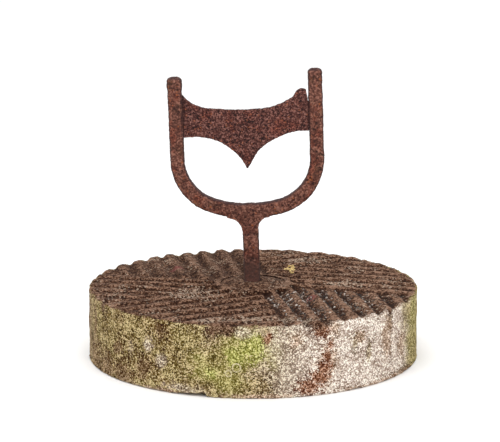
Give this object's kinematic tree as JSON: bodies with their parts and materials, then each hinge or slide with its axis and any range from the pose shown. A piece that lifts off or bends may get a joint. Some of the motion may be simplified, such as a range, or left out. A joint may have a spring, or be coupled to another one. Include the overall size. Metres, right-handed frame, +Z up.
{
  "type": "boot scraper",
  "caption": "Forged U-shaped boot scraper with a hollow-worn blade, its stem mortared into the eye of a round, furrowed millstone that stands on the ground.",
  "frame": {"origin": "centre of the stone's underside, on the ground", "axes": "+Z up, +Y to the back, +X to the right of someone who faces the blade"},
  "size_m": [0.4, 0.4, 0.3479],
  "materials": {
    "millstone": "rough weathered gritstone with moss, lichen and rust stains",
    "mortar": "trowelled lime mortar, dark with rust",
    "iron": "forged wrought iron, brown rust",
    "blade_iron": "plate iron, deeply pitted rust"
  },
  "bodies": {
    "root": {"millstone": "millstone", "eye_mortar": "mortar", "stem": "iron", "yoke": "iron", "blade": "blade_iron", "left_rivet": "iron", "right_rivet": "iron"}
  },
  "joints": []
}
